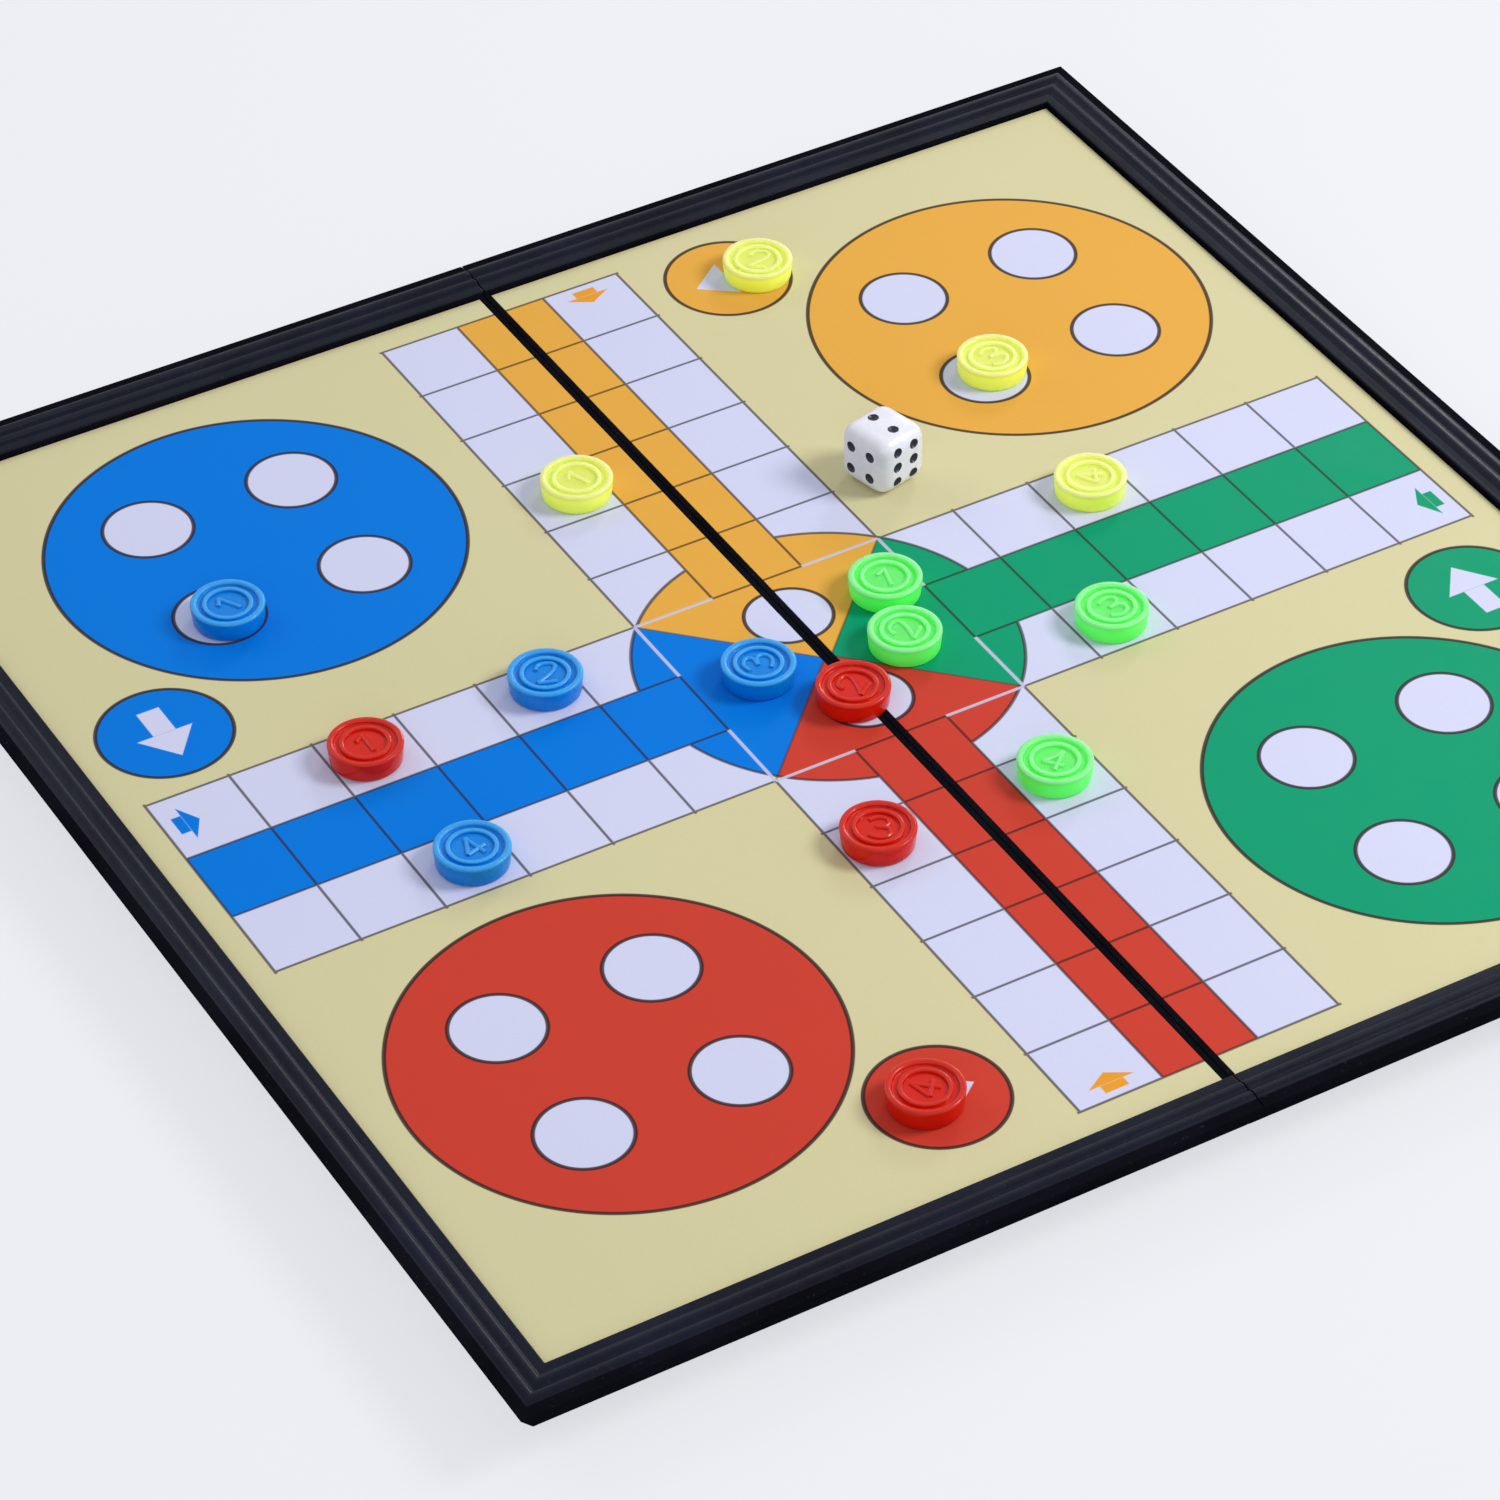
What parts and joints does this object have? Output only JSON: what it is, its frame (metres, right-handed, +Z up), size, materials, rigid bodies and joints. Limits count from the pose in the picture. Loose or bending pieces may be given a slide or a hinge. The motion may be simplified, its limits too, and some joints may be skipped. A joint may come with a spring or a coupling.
{
  "type": "folding ludo board box",
  "caption": "Square folding board-game case with hinged hollow halves, a reeded dark frame, a printed ludo playing surface, round magnetic counters and a die.",
  "frame": {"origin": "On the table under the middle of the open board, halfway along the fold.", "axes": "+X crosses the fold towards the green side, +Y runs along the fold away from the viewer, +Z is up out of the play side."},
  "size_m": [0.2508, 0.2508, 0.0192],
  "materials": {
    "case_plastic": "moulded near-black navy, satin gloss",
    "plate_steel": "thin tinned sheet",
    "printed_sheet": "printed and varnished, cream ground",
    "pin_steel": "drawn wire",
    "yellow_plastic": "fluorescent yellow",
    "green_plastic": "fluorescent green",
    "blue_plastic": "bright blue",
    "red_plastic": "bright red",
    "magnet_ferrite": "dark grey sintered ferrite",
    "die_plastic": "white with black pips"
  },
  "bodies": {
    "left_half": {"left_case": "case_plastic", "left_steel_plate": "plate_steel", "left_play_sheet": "printed_sheet", "front_hinge_pin": "pin_steel", "rear_hinge_pin": "pin_steel"},
    "right_half": {"right_case": "case_plastic", "right_steel_plate": "plate_steel", "right_play_sheet": "printed_sheet"},
    "yellow_piece_1": {"yellow_counter_1": "yellow_plastic", "yellow_magnet_1": "magnet_ferrite"},
    "yellow_piece_2": {"yellow_counter_2": "yellow_plastic", "yellow_magnet_2": "magnet_ferrite"},
    "yellow_piece_3": {"yellow_counter_3": "yellow_plastic", "yellow_magnet_3": "magnet_ferrite"},
    "yellow_piece_4": {"yellow_counter_4": "yellow_plastic", "yellow_magnet_4": "magnet_ferrite"},
    "green_piece_1": {"green_counter_1": "green_plastic", "green_magnet_1": "magnet_ferrite"},
    "green_piece_2": {"green_counter_2": "green_plastic", "green_magnet_2": "magnet_ferrite"},
    "green_piece_3": {"green_counter_3": "green_plastic", "green_magnet_3": "magnet_ferrite"},
    "green_piece_4": {"green_counter_4": "green_plastic", "green_magnet_4": "magnet_ferrite"},
    "blue_piece_1": {"blue_counter_1": "blue_plastic", "blue_magnet_1": "magnet_ferrite"},
    "blue_piece_2": {"blue_counter_2": "blue_plastic", "blue_magnet_2": "magnet_ferrite"},
    "blue_piece_3": {"blue_counter_3": "blue_plastic", "blue_magnet_3": "magnet_ferrite"},
    "blue_piece_4": {"blue_counter_4": "blue_plastic", "blue_magnet_4": "magnet_ferrite"},
    "red_piece_1": {"red_counter_1": "red_plastic", "red_magnet_1": "magnet_ferrite"},
    "red_piece_2": {"red_counter_2": "red_plastic", "red_magnet_2": "magnet_ferrite"},
    "red_piece_3": {"red_counter_3": "red_plastic", "red_magnet_3": "magnet_ferrite"},
    "red_piece_4": {"red_counter_4": "red_plastic", "red_magnet_4": "magnet_ferrite"},
    "die_piece": {"die": "die_plastic"}
  },
  "joints": [
    {"name": "board_fold", "type": "hinge", "parent": "left_half", "child": "right_half", "pos_m": [0, 0, 0.0015], "axis": [0, 1, 0], "range_deg": [0, 180]},
    {"name": "yellow_lift_1", "type": "slide", "parent": "left_half", "child": "yellow_piece_1", "axis": [0, 0, 1], "range_m": [0, 0.04]},
    {"name": "yellow_lift_2", "type": "slide", "parent": "right_half", "child": "yellow_piece_2", "axis": [0, 0, 1], "range_m": [0, 0.04]},
    {"name": "yellow_lift_3", "type": "slide", "parent": "right_half", "child": "yellow_piece_3", "axis": [0, 0, 1], "range_m": [0, 0.04]},
    {"name": "yellow_lift_4", "type": "slide", "parent": "right_half", "child": "yellow_piece_4", "axis": [0, 0, 1], "range_m": [0, 0.04]},
    {"name": "green_lift_1", "type": "slide", "parent": "right_half", "child": "green_piece_1", "axis": [0, 0, 1], "range_m": [0, 0.04]},
    {"name": "green_lift_2", "type": "slide", "parent": "right_half", "child": "green_piece_2", "axis": [0, 0, 1], "range_m": [0, 0.04]},
    {"name": "green_lift_3", "type": "slide", "parent": "right_half", "child": "green_piece_3", "axis": [0, 0, 1], "range_m": [0, 0.04]},
    {"name": "green_lift_4", "type": "slide", "parent": "right_half", "child": "green_piece_4", "axis": [0, 0, 1], "range_m": [0, 0.04]},
    {"name": "blue_lift_1", "type": "slide", "parent": "left_half", "child": "blue_piece_1", "axis": [0, 0, 1], "range_m": [0, 0.04]},
    {"name": "blue_lift_2", "type": "slide", "parent": "left_half", "child": "blue_piece_2", "axis": [0, 0, 1], "range_m": [0, 0.04]},
    {"name": "blue_lift_3", "type": "slide", "parent": "left_half", "child": "blue_piece_3", "axis": [0, 0, 1], "range_m": [0, 0.04]},
    {"name": "blue_lift_4", "type": "slide", "parent": "left_half", "child": "blue_piece_4", "axis": [0, 0, 1], "range_m": [0, 0.04]},
    {"name": "red_lift_1", "type": "slide", "parent": "left_half", "child": "red_piece_1", "axis": [0, 0, 1], "range_m": [0, 0.04]},
    {"name": "red_lift_2", "type": "slide", "parent": "left_half", "child": "red_piece_2", "axis": [0, 0, 1], "range_m": [0, 0.04]},
    {"name": "red_lift_3", "type": "slide", "parent": "left_half", "child": "red_piece_3", "axis": [0, 0, 1], "range_m": [0, 0.04]},
    {"name": "red_lift_4", "type": "slide", "parent": "left_half", "child": "red_piece_4", "axis": [0, 0, 1], "range_m": [0, 0.04]},
    {"name": "die_lift", "type": "slide", "parent": "right_half", "child": "die_piece", "axis": [0, 0, 1], "range_m": [0, 0.04]}
  ]
}
